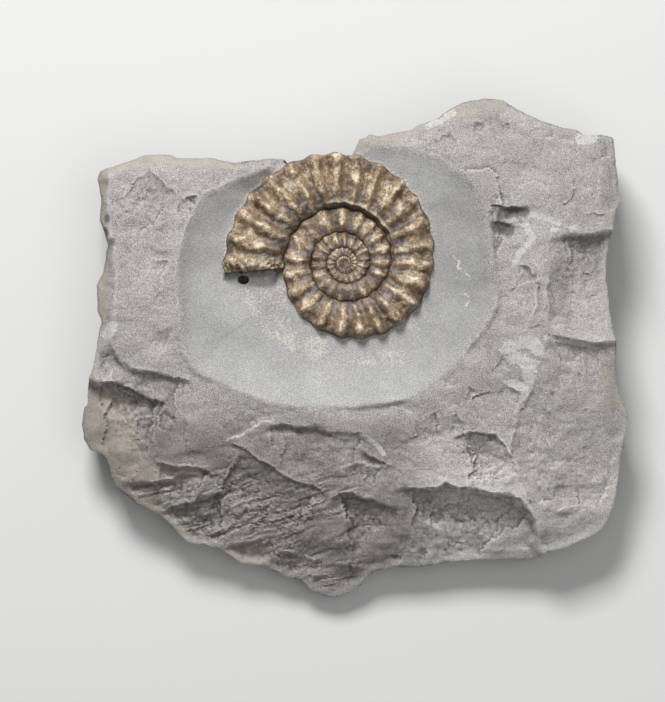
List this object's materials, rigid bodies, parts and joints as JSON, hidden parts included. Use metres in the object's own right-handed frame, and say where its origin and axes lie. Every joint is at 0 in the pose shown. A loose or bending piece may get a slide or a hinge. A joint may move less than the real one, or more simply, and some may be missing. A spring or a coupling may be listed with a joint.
{
  "type": "fossil ammonite in rock",
  "caption": "Ribbed, coiled fossil shell half sunk in a block of broken grey mudstone, standing proud of a smooth shallow bowl worked around it.",
  "frame": {"origin": "centre of the block's box, on its flat underside", "axes": "+Z out of the fossil's face, square to the flat underside; +X along the longer side of the block, to the right as seen from above; +Y to the block's upper edge in the picture"},
  "size_m": [0.2114, 0.1938, 0.0462],
  "materials": {
    "matrix": "matt, fine-grained and broken, weathered buff along its edges, smoother and paler in the bowl",
    "ammonite": "waxed semi-gloss calcite, mottled golden tan, brown and dark grey"
  },
  "bodies": {
    "root": {"matrix": "matrix", "ammonite": "ammonite"}
  },
  "joints": []
}
